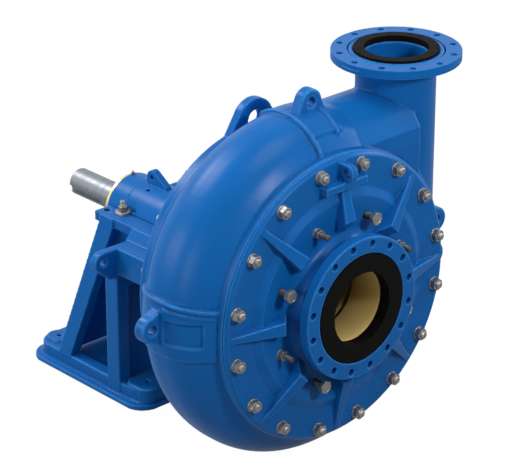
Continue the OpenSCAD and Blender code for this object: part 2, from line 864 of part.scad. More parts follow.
// Shaft with its stepped seats, two shallow relief grooves and the keyway
relief_d = 0.6;
relief_w = 3;
cover_relief_y = ring_y1 + 2;
key_relief_y = shaft_end_y - keyway_len - 6;
end_bevel = 3;
keyway_d = 11;
keyway_angle = 195;
module shaft() {
    color("silver") difference() {
        turned() polygon([[0, nose_y0 + 2], [nose_r - 3, nose_y0 + 2],
            [nose_r - thread_play, nose_y0 + 5], [nose_r - thread_play, sleeve_y0],
            [sleeve_bore_r - 0.02, sleeve_y0],
            [sleeve_bore_r - 0.02, sleeve_y1], [seat_r, sleeve_y1],
            [seat_r, pump_bearing_y + bearing_w], [mid_shaft_r, pump_bearing_y + bearing_w],
            [mid_shaft_r, drive_bearing_y], [seat_r, drive_bearing_y], [seat_r, ring_y0 - 20],
            [drive_end_d / 2, ring_y0 - 20], [drive_end_d / 2, shaft_end_y - end_bevel],
            [drive_end_d / 2 - end_bevel, shaft_end_y], [0, shaft_end_y]]);
        for (y = [cover_relief_y, key_relief_y])
            ring(drive_end_d, drive_end_d / 2 - relief_d, y, y + relief_w);
        rotate([0, -keyway_angle, 0])
            translate([drive_end_d / 2 - keyway_d, shaft_end_y - keyway_len, 0]) {
                translate([0, keyway_w / 2, -keyway_w / 2]) cube([30, keyway_len, keyway_w]);
                translate([0, keyway_w / 2, 0]) rotate([0, 90, 0]) cylinder(r = keyway_w / 2, h = 30);
            }
    }
}

module shaft_sleeve() {
    color("gainsboro") ring(sleeve_r, sleeve_bore_r, sleeve_y0, sleeve_y1);
}

// Bearing housing with ledges for the clamp washers, a lifting lug and bores
housing_lug_y = 1131;
housing_lug_z = 177;
housing_lug_r = 31;
module housing_lug() {
    bar_x(-16, 16) {
        translate([housing_lug_y, housing_lug_z]) circle(r = housing_lug_r);
        polygon([[1040, 100], [1040, 155], [housing_lug_y - 20, housing_lug_z + 23.7],
            [housing_lug_y + housing_lug_r, housing_lug_z], [1164, 100]]);
    }
}

module bearing_housing() {
    color("royalblue") difference() {
        union() {
            disc(housing_r - cradle_fit, housing_y0, housing_y1);
            intersection() {
                housing_lug();
                translate([-50, 900, 130]) cube([100, 400, 100]);
            }
        }
        disc(bearing_r, housing_y0 - 1, pump_bearing_y + bearing_w);
        disc(bearing_r - 12, housing_y0, housing_y1);
        disc(bearing_r, drive_bearing_y, housing_y1 + 1);
        both_sides() for (y = clamp_y)
            translate([clamp_ledge_x, y - 45, cradle_top]) cube([40, 90, 60]);
        translate([-30, housing_lug_y, housing_lug_z]) rotate([0, 90, 0]) cylinder(r = 11, h = 60);
        rotate([0, -110.5, 0]) translate([housing_r - 14, 1113, 0]) rotate([0, 90, 0])
            cylinder(r = 9, h = 30);
        around(end_bolt_circle, 6, 0) {
            disc(5, housing_y0 - 1, housing_y0 + 14);
            disc(5, housing_y1 - 14, housing_y1 + 1);
        }
    }
}

end_bolt_circle = 130;
module end_cover(y0, y1, bore) {
    difference() {
        disc(housing_r - 0.5, y0, y1);
        disc(bore, y0 - 1, y1 + 1);
        around(end_bolt_circle, 6, 0) disc(5.5, y0 - 1, y1 + 1);
    }
}

pump_cover_t = 26;
nipple_y = 1273;
module pump_end_cover() {
    color("royalblue") end_cover(housing_y0 - pump_cover_t, housing_y0, seat_r + 3);
}

module drive_end_cover() {
    color("royalblue") difference() {
        end_cover(housing_y1, drive_cover_y1, seat_r + 3);
        disc(seat_r + 28, housing_y1 - 1, housing_y1 + 30);
        translate([0, nipple_y, housing_r - 20]) cylinder(r = 6, h = 30);
    }
}

module end_cover_bolts() {
    color("lightgray") around(end_bolt_circle, 6, 0) {
        disc(5 - thread_play, housing_y0 - pump_cover_t - 1, housing_y0 + 12);
        hex(16, housing_y0 - pump_cover_t - 7, housing_y0 - pump_cover_t);
        disc(5 - thread_play, housing_y1 - 12, drive_cover_y1 - 1);
    }
}

// Roller bearing pieces
module bearing_outer(y) {
    color("lightsteelblue") ring(bearing_r - race_gap, roller_circle + roller_r + race_gap, y, y + bearing_w);
}
module bearing_inner(y) {
    color("lightsteelblue") ring(roller_circle - roller_r - race_gap, seat_r + 0.02, y, y + bearing_w);
}
module bearing_rollers(y) {
    color("lightsteelblue") {
        around(roller_circle, roller_n, 0) disc(roller_r - race_gap, y + 8, y + bearing_w - 8);
        ring(roller_circle + 5, roller_circle - 5, y + 3, y + 8.5);
        ring(roller_circle + 5, roller_circle - 5, y + bearing_w - 8.5, y + bearing_w - 3);
    }
}

module pump_bearing_outer() { bearing_outer(pump_bearing_y); }
module pump_bearing_rollers() { bearing_rollers(pump_bearing_y); }
module pump_bearing_inner() { bearing_inner(pump_bearing_y); }
module drive_bearing_outer() { bearing_outer(drive_bearing_y); }
module drive_bearing_rollers() { bearing_rollers(drive_bearing_y); }
module drive_bearing_inner() { bearing_inner(drive_bearing_y); }

module bearing_lock_nut() {
    color("gray") difference() {
        ring(seat_r + 22, seat_r + 0.02, drive_bearing_y + bearing_w, drive_bearing_y + bearing_w + 20);
        around(seat_r + 24, 4, 0) translate([0, drive_bearing_y + bearing_w + 10, 0])
            cube([16, 40, 10], center = true);
    }
}

module labyrinth_ring() {
    color("gold") ring(ring_r, drive_end_d / 2 + 0.02, ring_y0, ring_y1);
}

module pump_labyrinth() {
    color("gray") ring(112, seat_r + 0.02, housing_y0 - pump_cover_t - 24, housing_y0 - pump_cover_t - 10);
}

// Clamps that hold the bearing cartridge in the cradle
module clamp_places() {
    both_sides() for (y = clamp_y) translate([clamp_x, y, 0]) children();
}

module clamp_studs() {
    color("lightgray") clamp_places()
        translate([0, 0, cradle_top - 50]) cylinder(r = m24_r - thread_play, h = 108);
}

module clamp_washers() {
    color("lightgray") clamp_places() translate([0, 0, cradle_top]) difference() {
        cylinder(r = clamp_washer_r, h = clamp_washer_t);
        translate([0, 0, -1]) cylinder(r = m24_r + 1, h = clamp_washer_t + 2);
    }
}

module clamp_nuts() {
    color("lightgray") clamp_places() translate([0, 0, cradle_top + clamp_washer_t]) difference() {
        cylinder(r = m24_flats / sqrt(3), h = m24_nut_h, $fn = 6);
        translate([0, 0, -1]) cylinder(r = m24_r, h = m24_nut_h + 2);
    }
}

// Screw under the cartridge that shifts it along the cradle
adjuster_z = -165;
module cartridge_adjuster() {
    color("lightgray") translate([0, 0, adjuster_z]) {
        disc(10, cradle_y1 - 60, cradle_y1 + 30);
        hex(30, cradle_y1 + 30, cradle_y1 + 44);
    }
}

module grease_nipples() {
    color("silver") translate([0, nipple_y, housing_r - 14]) {
        cylinder(r = 6 - thread_play, h = 20);
        translate([0, 0, 14.5]) cylinder(r = 9, h = 8, $fn = 6);
        translate([0, 0, 22]) cylinder(r = 4, h = 10);
    }
}

// Base with rounded flange, foot walls, corner pads and floor
module base_block() {
    translate([0, base_mid_y, base_z]) linear_extrude(height = base_flange_t)
        rounded(base_w, base_l, 95);
    translate([0, base_mid_y, flange_z - 1]) linear_extrude(height = 5)
        rounded(2 * foot_half_w + 26, foot_y1 - foot_y0 + 14, 88);
    translate([0, base_mid_y, flange_z]) linear_extrude(height = pad_z - flange_z - 12)
        difference() {
            rounded(2 * foot_half_w, foot_y1 - foot_y0, 80);
            rounded(2 * (foot_half_w - foot_inner), foot_y1 - foot_y0 - 2 * foot_inner, 40);
        }
    translate([0, base_mid_y, flange_z - 1]) linear_extrude(height = floor_z - flange_z)
        rounded(2 * foot_half_w - 20, foot_y1 - foot_y0 - 20, 60);
    for (sx = [-1, 1]) {
        translate([sx * anchor_x / 2, base_mid_y + anchor_y / 2, flange_z])
            linear_extrude(height = pad_z - flange_z) rounded(rear_pad_w, rear_pad_l, 48);
        translate([sx * anchor_x / 2, base_mid_y - anchor_y / 2, flange_z])
            linear_extrude(height = pad_z - flange_z) rounded(front_pad_w, front_pad_w, 50);
    }
}

// Place of the leg's rear edge and of its middle at a given height
function rear_line(z) = leg_rear_y + (leg_bend_z - z) * leg_slope;
function leg_mid_x(z) = leg_top_x - leg_t / 2 + leg_lean * (cradle_top - z);

// Front wall between the posts, with a lintel over its recess
module front_wall() {
    translate([-post_in_x - 5, wall_y, base_z + 30])
        cube([2 * post_in_x + 10, post_y1 - wall_y, beam_z - base_z - 25]);
    translate([-shelf_x + 5, post_y0, lintel_z])
        cube([2 * shelf_x - 10, post_y1 - post_y0, beam_z + 5 - lintel_z]);
}

// Leaning wall between the rear legs, set in a little from their rear edges
rear_wall_inset = 3;
module rear_wall() {
    low_z = leg_foot_z;
    top_y = rear_line(rear_wall_z) - rear_wall_inset;
    low_y = rear_line(low_z) - rear_wall_inset;
    intersection() {
        bar_x(-400, 400) polygon([[top_y - rear_wall_t, rear_wall_z], [top_y, rear_wall_z],
            [low_y, low_z], [low_y - rear_wall_t, low_z]]);
        plate(1000, 1500) polygon([[-leg_mid_x(rear_wall_z), rear_wall_z],
            [leg_mid_x(rear_wall_z), rear_wall_z], [leg_mid_x(low_z), low_z],
            [-leg_mid_x(low_z), low_z]]);
    }
}

// Post under the beam, on the left side as seen from the suction end
module post() {
    translate([-shelf_x, post_y0, base_z + 30])
        cube([shelf_x - post_in_x, post_y1 - post_y0, beam_z - base_z]);
}

// Leaning rear leg
leg_front_y = 1131;
leg_foot_front_y = 1313;
module leg() {
    foot_x = leg_top_x + leg_lean * (cradle_top - leg_foot_z);
    intersection() {
        bar_x(-400, -100) polygon([[leg_front_y, shelf_z], [leg_front_y + 3, cradle_top],
            [leg_rear_y, cradle_top], [leg_rear_y, leg_bend_z],
            [rear_line(leg_foot_z), leg_foot_z], [leg_foot_front_y, leg_foot_z]]);
        plate(1000, 1500) polygon([[leg_t - leg_top_x, cradle_top], [-leg_top_x, cradle_top],
            [-foot_x, leg_foot_z], [leg_t - foot_x, leg_foot_z]]);
    }
}

// Beam from the post to the frame plate, an open channel below
module beam() {
    difference() {
        union() {
            translate([-shelf_x, plate_back_y, beam_z])
                cube([shelf_x - beam_in_x, shelf_y1 - plate_back_y, shelf_z - beam_z]);
            plate(cradle_y0, shelf_y1) polygon([[-cradle_half_w + 20, shelf_z - 10],
                [-cradle_half_w, cradle_top], [-cradle_half_w + 20, cradle_top]]);
            plate(cradle_y0, shelf_y1 + 6) polygon([[-270, shelf_z - 1],
                [-cradle_half_w, cradle_top], [-cradle_half_w + 30, cradle_top - 20],
                [-cradle_half_w + 30, shelf_z - 1]]);
        }
        translate([-shelf_x + beam_web, plate_back_y + beam_flange_t, beam_z - 1])
            cube([shelf_x - beam_in_x - beam_web - 20, post_y0 - plate_back_y - beam_flange_t,
                shelf_z - beam_z - beam_web]);
    }
    translate([-beam_flange[1], plate_back_y, beam_flange[2]])
        cube([beam_flange[1] - beam_flange[0], beam_flange_t, beam_flange[3] - beam_flange[2]]);
}

// Lug plate on the side of the beam
module side_lug() {
    plate(side_lug_y, side_lug_y + side_lug_t) {
        polygon([[-shelf_x + 20, shelf_z], [-side_lug_hole[0], shelf_z],
            [-side_lug_hole[0] - 36, side_lug_hole[1] - 28], [-389, -128],
            [-shelf_x + 20, -128]]);
        translate([-side_lug_hole[0], side_lug_hole[1]]) circle(r = shelf_z - side_lug_hole[1]);
    }
}

// Cradle: half shell under the bearing housing with flat tops
module cradle() {
    plate(cradle_y0, cradle_y1) {
        translate([-cradle_half_w, shelf_z]) square([2 * cradle_half_w, cradle_top - shelf_z]);
        difference() {
            circle(r = cradle_shell_r, $fn = 180);
            translate([-300, shelf_z]) square([600, 400]);
        }
    }
}

// Round seat of the bearing housing, open at the top
module cradle_bore() {
    disc(housing_r, cradle_y0 - 1, cradle_y1 + 1);
    translate([-housing_r, cradle_y0 - 1, 0])
        cube([2 * housing_r, cradle_y1 - cradle_y0 + 2, 200]);
}

module base_frame() {
    color("royalblue") difference() {
        union() {
            base_block();
            front_wall();
            rear_wall();
            cradle();
            both_sides() {
                beam();
                post();
                leg();
                side_lug();
            }
        }
        cradle_bore();
        for (sx = [-1, 1])
            for (sy = [-1, 1])
                translate([sx * anchor_x / 2, base_mid_y + sy * anchor_y / 2, base_z - 1])
                    cylinder(r = anchor_d / 2, h = pad_h + 2);
        clamp_places() translate([0, 0, cradle_top - 56]) cylinder(r = m24_r, h = 60);
        translate([0, 0, adjuster_z]) disc(10 + thread_play, cradle_y1 - 70, cradle_y1 + 60);
        both_sides() {
            translate([spare_hole_x, spare_hole_y, shelf_z - 20]) cylinder(r = 14.5, h = 80);
            translate([-side_lug_hole[0], 0, side_lug_hole[1]])
                disc(side_lug_hole_r, side_lug_y - 1, side_lug_y + side_lug_t + 1);
            frame_bolt_places()
                disc(m24_r + bolt_play, plate_back_y - 1, plate_back_y + beam_flange_t + 1);
        }
    }
}

on_shaft() base_frame();
on_shaft() frame_plate();
on_shaft() frame_plate_bolts();
on_shaft() volute_casing();
on_shaft() cover_plate();
on_shaft() cover_studs();
on_shaft() cover_nuts();
on_shaft() cover_washers();
on_shaft() rear_studs();
on_shaft() rear_nuts();
on_shaft() intake_joint();
on_shaft() discharge_joint();
on_shaft() discharge_flange_front();
on_shaft() discharge_flange_back();
on_shaft() throatbush();
on_shaft() throatbush_studs();
on_shaft() throatbush_nuts();
on_shaft() adjusting_bolts();
on_shaft() impeller();
on_shaft() frame_plate_liner();
on_shaft() stuffing_box();
on_shaft() lantern_ring();
on_shaft() packing_rings();
on_shaft() gland();
on_shaft() gland_studs();
on_shaft() shaft();
on_shaft() shaft_sleeve();
on_shaft() bearing_housing();
on_shaft() pump_end_cover();
on_shaft() drive_end_cover();
on_shaft() end_cover_bolts();
on_shaft() pump_bearing_outer();
on_shaft() pump_bearing_rollers();
on_shaft() pump_bearing_inner();
on_shaft() drive_bearing_outer();
on_shaft() drive_bearing_rollers();
on_shaft() drive_bearing_inner();
on_shaft() bearing_lock_nut();
on_shaft() labyrinth_ring();
on_shaft() pump_labyrinth();
on_shaft() clamp_studs();
on_shaft() clamp_washers();
on_shaft() clamp_nuts();
on_shaft() cartridge_adjuster();
on_shaft() grease_nipples();
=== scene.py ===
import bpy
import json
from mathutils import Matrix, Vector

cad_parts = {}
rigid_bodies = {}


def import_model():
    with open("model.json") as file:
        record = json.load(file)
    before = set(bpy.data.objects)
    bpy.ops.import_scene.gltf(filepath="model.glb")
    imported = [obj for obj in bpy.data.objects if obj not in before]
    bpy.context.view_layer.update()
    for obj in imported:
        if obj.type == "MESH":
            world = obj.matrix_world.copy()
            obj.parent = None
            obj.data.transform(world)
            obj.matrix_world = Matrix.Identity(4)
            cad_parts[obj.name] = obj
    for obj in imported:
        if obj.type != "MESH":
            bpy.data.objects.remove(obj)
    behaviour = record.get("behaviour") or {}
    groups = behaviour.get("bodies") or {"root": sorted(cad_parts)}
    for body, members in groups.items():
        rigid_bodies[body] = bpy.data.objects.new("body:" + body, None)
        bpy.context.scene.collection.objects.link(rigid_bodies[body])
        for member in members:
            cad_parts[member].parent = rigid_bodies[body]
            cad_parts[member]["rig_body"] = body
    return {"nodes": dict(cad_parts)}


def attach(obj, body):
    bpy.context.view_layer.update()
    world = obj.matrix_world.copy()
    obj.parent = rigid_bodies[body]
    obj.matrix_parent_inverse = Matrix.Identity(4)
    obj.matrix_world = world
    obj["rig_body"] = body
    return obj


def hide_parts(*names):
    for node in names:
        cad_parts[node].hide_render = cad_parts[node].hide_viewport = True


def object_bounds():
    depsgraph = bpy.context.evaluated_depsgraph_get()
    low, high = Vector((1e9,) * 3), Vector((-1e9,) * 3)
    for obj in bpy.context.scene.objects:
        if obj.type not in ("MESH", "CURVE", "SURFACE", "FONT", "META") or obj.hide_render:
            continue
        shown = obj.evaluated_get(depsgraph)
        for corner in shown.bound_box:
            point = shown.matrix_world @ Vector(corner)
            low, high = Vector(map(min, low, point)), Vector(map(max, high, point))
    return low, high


bl_info = {
    "name": "Slurry pump dressing",
    "version": (1, 0, 0),
    "blender": (4, 5, 0),
    "location": "3D view, sidebar, Pump",
    "description": "Castings, fasteners and finishes of a horizontal slurry pump on its frame",
    "category": "Object",
}

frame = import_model()
cad_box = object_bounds()

import json
import math

import bmesh
import bpy
import numpy as np
from mathutils import Euler, Matrix, Vector

SHAFT_HEIGHT = 0.700

# Where painted shade starts in the golden bore, and over what depth it deepens
BORE_MOUTH = -1.24
BORE_SHADE_DEPTH = 0.22

# Width across flats, radius of the nut's bore, radius of the shank and height of the head
FLATS = {"M30": 0.046, "M24": 0.036, "M20": 0.030, "M16": 0.024, "M10": 0.016}
THREAD = {"M30": 0.0151, "M24": 0.0121, "M20": 0.0101, "M16": 0.0079}
SHANK = {"M24": 0.0118, "M20": 0.0098, "M16": 0.0078, "M10": 0.0048}
HEAD = {"M24": 0.016, "M20": 0.014, "M16": 0.009, "M10": 0.007}

# Slope of a hexagon's chamfer, broken edge of a bore or rim, and washer face under a bolt head
CHAMFER = math.tan(math.radians(28))
BROKEN_EDGE = 0.0012
WASHER_FACE = 0.0008

# Stud radius that the thread's pitch and depth are given for
THREAD_RADIUS = 0.015

# Directions of the bolting: towards the suction side, the drive end and up
FRONT = (0, -1, 0)
BACK = (0, 1, 0)
UP = (0, 0, 1)

# The photograph's camera: place, and its angles above and beside the shaft
CAMERA_PLACE = (-6.231, -7.4055, 4.937)
CAMERA_TILT = math.radians(90 - 24.28)
CAMERA_TURN = math.radians(-42.83)

# Half the side of the floor, and how far it lies under the lowest point of the pump
FLOOR_HALF = 14
FLOOR_GAP = 0.002

# CAD nodes that get each finish
FINISHES = {
    "blue_paint": ("base_frame", "frame_plate", "volute_casing", "cover_plate",
                   "discharge_flange_front", "discharge_flange_back", "bearing_housing",
                   "pump_end_cover", "drive_end_cover"),
    "zinc": ("frame_plate_bolts", "cover_studs", "cover_nuts", "cover_washers", "rear_studs",
             "rear_nuts", "throatbush_studs", "throatbush_nuts", "adjusting_bolts",
             "gland_studs", "end_cover_bolts", "clamp_studs", "clamp_washers", "clamp_nuts",
             "cartridge_adjuster", "grease_nipples"),
    "rubber": ("intake_joint", "discharge_joint"),
    "wear_gold": ("throatbush", "impeller"),
    "hard_iron": ("frame_plate_liner",),
    "bare_iron": ("stuffing_box", "lantern_ring", "gland", "pump_labyrinth"),
    "packing": ("packing_rings",),
    "shaft_steel": ("shaft", "shaft_sleeve", "bearing_lock_nut"),
    "bearing_steel": ("pump_bearing_outer", "pump_bearing_rollers", "pump_bearing_inner",
                      "drive_bearing_outer", "drive_bearing_rollers", "drive_bearing_inner"),
    "brass": ("labyrinth_ring",),
}


def colour(name, value, words):
    return bpy.props.FloatVectorProperty(
        name=name, description=words, subtype="COLOR", size=3, min=0.0, max=1.0, default=value)


def length(name, value, words):
    return bpy.props.FloatProperty(
        name=name, description=words, subtype="DISTANCE", unit="LENGTH", min=0.0, default=value)


class PumpColours(bpy.types.PropertyGroup):
    """Colours of the pump's finishes"""
    paint: colour("Paint", (0.005, 0.118, 0.40), "Blue gloss paint of the castings")
    # Painted highlight: paler paint on rounded edges and ridges, where light catches them
    painted_edge_highlight: colour("Pale paint", (0.05, 0.27, 0.70), "Paint on rounded edges and ridges")
    # Painted shade: darker paint in hollow corners, where shade falls
    painted_corner_shade: colour("Deep paint", (0.001, 0.058, 0.22), "Paint where it darkens as painted shade in corners")
    zinc: colour("Zinc", (0.34, 0.33, 0.315), "Plated nuts and washers")
    shank: colour("Shank", (0.10, 0.10, 0.105), "Threads and shanks of the bolts")
    rubber: colour("Rubber", (0.0022, 0.0021, 0.0019), "Joint rings at the pipe flanges")
    gold: colour("Wear metal", (1.0, 0.74, 0.28), "Bore of the throatbush")
    # Painted shade: darker metal deep in the bore, where shade falls
    painted_bore_shade: colour("Shaded metal", (0.07, 0.045, 0.012), "Wear metal deep in the bore")
    steel: colour("Shaft steel", (0.23, 0.25, 0.28), "Turned steel of the shaft")
    iron: colour("Iron", (0.20, 0.20, 0.205), "Bare and hard iron inside")
    brass: colour("Brass", (0.80, 0.62, 0.22), "Labyrinth ring")
    packing: colour("Packing", (0.22, 0.19, 0.13), "Greased packing braid")


class PumpSizes(bpy.types.PropertyGroup):
    """Sizes of the cast skins and the threads"""
    casing_grain: length("Casing skin", 0.0048, "Facet size of the skin of the casing")
    cover_grain: length("Cover skin", 0.0036, "Facet size of the skin of the suction cover")
    base_grain: length("Frame skin", 0.0046, "Facet size of the skin of the frame")
    small_grain: length("Small skin", 0.0026, "Facet size of the skin of smaller castings")
    thread_pitch: length("Thread pitch", 0.0035, "Pitch of the threads that show")
    thread_depth: length("Thread depth", 0.0016, "Depth of the threads that show")


class PumpStage(bpy.types.PropertyGroup):
    """Camera, lamps and floor"""
    lens: bpy.props.FloatProperty(
        name="Lens", description="Focal length on a 36 mm sensor", default=173.64, min=20.0)
    floor: colour("Floor", (0.30, 0.30, 0.30), "Floor under the pump")
    sky: bpy.props.FloatProperty(
        name="Sky", description="Strength of the pale surroundings", default=0.18, min=0.0)
    glow: bpy.props.FloatProperty(
        name="Glow", description="Strength of the white that the camera sees on the floor",
        default=1.15, min=0.0)
    whiteness: bpy.props.FloatProperty(
        name="Whiteness", description="Share of that white over the floor's own colour",
        default=0.85, min=0.0, max=1.0)
    mirrored: bpy.props.FloatProperty(
        name="Mirrored", description="Share of the white floor that glossy surfaces mirror",
        default=0.32, min=0.0, max=1.0)


# Shader groups

def new_group(name, inputs, outputs):
    tree = bpy.data.node_groups.new(name, "ShaderNodeTree")
    for label, value in inputs:
        socket = tree.interface.new_socket(name=label, in_out="INPUT", socket_type="NodeSocketFloat")
        socket.default_value = value
    for label in outputs:
        tree.interface.new_socket(name=label, in_out="OUTPUT", socket_type="NodeSocketFloat")
    return tree, tree.nodes.new("NodeGroupInput"), tree.nodes.new("NodeGroupOutput")


def maths(tree, kind, first, second):
    node = tree.nodes.new("ShaderNodeMath")
    node.operation = kind
    for socket, value in zip(node.inputs, (first, second)):
        if isinstance(value, (int, float)):
            socket.default_value = value
        else:
            tree.links.new(value, socket)
    return node.outputs[0]


def noise(tree, place, scale, detail, roughness=0.5):
    node = tree.nodes.new("ShaderNodeTexNoise")
    node.inputs["Detail"].default_value = detail
    node.inputs["Roughness"].default_value = roughness
    tree.links.new(place, node.inputs["Vector"])
    if isinstance(scale, (int, float)):
        node.inputs["Scale"].default_value = scale
    else:
        tree.links.new(scale, node.inputs["Scale"])
    return node.outputs["Fac"]


def spread(tree, value, low, high, to_low=0.0, to_high=1.0):
    node = tree.nodes.new("ShaderNodeMapRange")
    tree.links.new(value, node.inputs["Value"])
    for label, number in (("From Min", low), ("From Max", high), ("To Min", to_low), ("To Max", to_high)):
        node.inputs[label].default_value = number
    return node.outputs["Result"]


def cast_skin_group():
    """Mottle of the paint and the fine waviness of a sand casting under it."""
    tree, given, out = new_group("Cast skin", (("Patches", 5.0), ("Pebble", 90.0)), ("Mottle", "Height"))
    place = tree.nodes.new("ShaderNodeTexCoord").outputs["Object"]
    patches = noise(tree, place, given.outputs["Patches"], 3.0, 0.55)
    pebble = noise(tree, place, given.outputs["Pebble"], 2.0)
    wave = noise(tree, place, 14.0, 2.0)
    tree.links.new(spread(tree, patches, 0.35, 0.68), out.inputs["Mottle"])
    small = maths(tree, "MULTIPLY", pebble, 0.35)
    tree.links.new(maths(tree, "ADD", small, wave), out.inputs["Height"])


def edge_group():
    """Masks for painted highlight on rounded edges and painted shade in hollow corners, from the curvature
    stored on the mesh.
    """
    tree, given, out = new_group("Edge highlight and corner shade", (("Reach", 1.0),), ("Edge", "Hollow"))
    bend = tree.nodes.new("ShaderNodeAttribute")
    bend.attribute_name = "bend"
    place = tree.nodes.new("ShaderNodeTexCoord").outputs["Object"]
    rough = spread(tree, noise(tree, place, 45.0, 3.0), 0.3, 0.7, 0.55, 1.0)
    lifted = maths(tree, "MULTIPLY", bend.outputs["Fac"], given.outputs["Reach"])
    edge = maths(tree, "MULTIPLY", spread(tree, lifted, 0.12, 0.9), rough)
    sunk = maths(tree, "MULTIPLY", lifted, -1.0)
    tree.links.new(edge, out.inputs["Edge"])
    tree.links.new(spread(tree, sunk, 0.08, 0.5), out.inputs["Hollow"])


def turned_group():
    """Fine lathe marks round the shaft line, and their streaks."""
    tree, given, out = new_group("Turned marks", (("Marks", 420.0),), ("Streak", "Height"))
    place = tree.nodes.new("ShaderNodeTexCoord").outputs["Object"]
    split = tree.nodes.new("ShaderNodeSeparateXYZ")
    tree.links.new(place, split.inputs[0])
    along = tree.nodes.new("ShaderNodeCombineXYZ")
    tree.links.new(split.outputs["Y"], along.inputs["Y"])
    across = maths(tree, "MULTIPLY", split.outputs["X"], 0.02)
    tree.links.new(across, along.inputs["X"])
    marks = noise(tree, along.outputs[0], given.outputs["Marks"], 2.0)
    broad = noise(tree, along.outputs[0], 30.0, 2.0)
    tree.links.new(spread(tree, broad, 0.3, 0.7), out.inputs["Streak"])
    tree.links.new(marks, out.inputs["Height"])


def seen_rays(tree, mirrored):
    """1 for rays that show the white background directly or through glass, a share for mirrored ones."""
    paths = tree.nodes.new("ShaderNodeLightPath")
    direct = maths(tree, "MAXIMUM", paths.outputs["Is Camera Ray"], paths.outputs["Is Transmission Ray"])
    return maths(tree, "MAXIMUM", direct, maths(tree, "MULTIPLY", paths.outputs["Is Glossy Ray"], mirrored))


def mix_colours(tree, amount, first, second):
    node = tree.nodes.new("ShaderNodeMix")
    node.data_type = "RGBA"
    tree.links.new(amount, node.inputs[0])
    for socket, value in ((node.inputs[6], first), (node.inputs[7], second)):
        if isinstance(value, tuple):
            socket.default_value = value
        else:
            tree.links.new(value, socket)
    return node.outputs[2]


def shade(value, factor=1.0):
    return tuple(min(1.0, c * factor) for c in value) + (1.0,)


def finish(slot):
    """The procedural material made here for a slot of the record."""
    return bpy.data.materials["pump " + slot]


def start_material(slot, rough, metal, groups):
    mat = bpy.data.materials.new("pump " + slot)
    mat.use_nodes = True
    tree = mat.node_tree
    skin = tree.nodes["Principled BSDF"]
    skin.inputs["Roughness"].default_value = rough
    skin.inputs["Metallic"].default_value = metal
    placed = []
    for group, values in groups:
        node = tree.nodes.new("ShaderNodeGroup")
        node.node_tree = bpy.data.node_groups[group]
        for label, value in values:
            node.inputs[label].default_value = value
        placed.append(node)
    return tree, skin, placed


def bump(tree, height, skin, strength, distance):
    node = tree.nodes.new("ShaderNodeBump")
    node.inputs["Strength"].default_value = strength
    node.inputs["Distance"].default_value = distance
    tree.links.new(height, node.inputs["Height"])
    tree.links.new(node.outputs["Normal"], skin.inputs["Normal"])


def paint_material(hues):
    tree, skin, (cast, edge) = start_material(
        "blue_paint", 0.36, 0.0, (("Cast skin", (("Patches", 4.0), ("Pebble", 120.0))),
                                  ("Edge highlight and corner shade", (("Reach", 1.0),))))
    mottle = spread(tree, cast.outputs["Mottle"], 0.0, 1.0, 0.0, 0.22)
    body = mix_colours(tree, mottle, shade(hues.paint), shade(hues.paint, 1.3))
    # Painted shade: darker paint in hollow corners
    corner_shade_amount = spread(tree, edge.outputs["Hollow"], 0.0, 1.0, 0.0, 0.85)
    dark = mix_colours(tree, corner_shade_amount, body, shade(hues.painted_corner_shade))
    # Painted highlight: paler paint on rounded edges
    lifted = spread(tree, edge.outputs["Edge"], 0.0, 1.0, 0.0, 0.85)
    tree.links.new(mix_colours(tree, lifted, dark, shade(hues.painted_edge_highlight)), skin.inputs["Base Color"])
    tree.links.new(spread(tree, cast.outputs["Mottle"], 0.0, 1.0, 0.27, 0.36), skin.inputs["Roughness"])
    skin.inputs["Specular IOR Level"].default_value = 0.1
    bump(tree, cast.outputs["Height"], skin, 0.22, 0.0016)


def plated_material(name, pale, deep, rough, metal):
    tree, skin, (cast, edge) = start_material(
        name, rough, metal, (("Cast skin", (("Patches", 60.0), ("Pebble", 900.0))),
                             ("Edge highlight and corner shade", (("Reach", 1.4),))))
    base = mix_colours(tree, cast.outputs["Mottle"], shade(deep), shade(pale))
    # Painted shade: darker metal in hollow corners
    dark = spread(tree, edge.outputs["Hollow"], 0.0, 1.0, 0.0, 0.6)
    tree.links.new(mix_colours(tree, dark, base, shade(deep, 0.4)), skin.inputs["Base Color"])
    tree.links.new(spread(tree, cast.outputs["Mottle"], 0.0, 1.0, rough + 0.08, rough - 0.06),
                   skin.inputs["Roughness"])
    bump(tree, cast.outputs["Height"], skin, 0.12, 0.0004)


def turned_material(name, pale, rough, metal, marks):
    tree, skin, (turn,) = start_material(name, rough, metal, (("Turned marks", (("Marks", marks),)),))
    tree.links.new(mix_colours(tree, turn.outputs["Streak"], shade(pale, 0.82), shade(pale)),
                   skin.inputs["Base Color"])
    tree.links.new(spread(tree, turn.outputs["Streak"], 0.0, 1.0, rough + 0.05, rough - 0.05),
                   skin.inputs["Roughness"])
    bump(tree, turn.outputs["Height"], skin, 0.25, 0.0003)


def bore_material(hues):
    """Golden wear metal, bright at the mouth of the bore and darkened further in by painted shade."""
    tree, skin, (turn,) = start_material(
        "wear_gold", 0.48, 0.15, (("Turned marks", (("Marks", 420.0),)),))
    gold = tuple(hues.gold)
    unshaded_gold = mix_colours(tree, turn.outputs["Streak"], shade(gold, 0.94), shade(gold))
    place = tree.nodes.new("ShaderNodeSeparateXYZ")
    tree.links.new(tree.nodes.new("ShaderNodeTexCoord").outputs["Object"], place.inputs[0])
    # Painted shade: the gold darkens with depth into the bore
    painted_bore_shade = spread(tree, place.outputs["Y"], BORE_MOUTH, BORE_MOUTH + BORE_SHADE_DEPTH)
    tree.links.new(mix_colours(tree, painted_bore_shade, unshaded_gold, shade(tuple(hues.painted_bore_shade))), skin.inputs["Base Color"])
    tree.links.new(spread(tree, turn.outputs["Streak"], 0.0, 1.0, 0.52, 0.46), skin.inputs["Roughness"])
    bump(tree, turn.outputs["Height"], skin, 0.12, 0.0002)


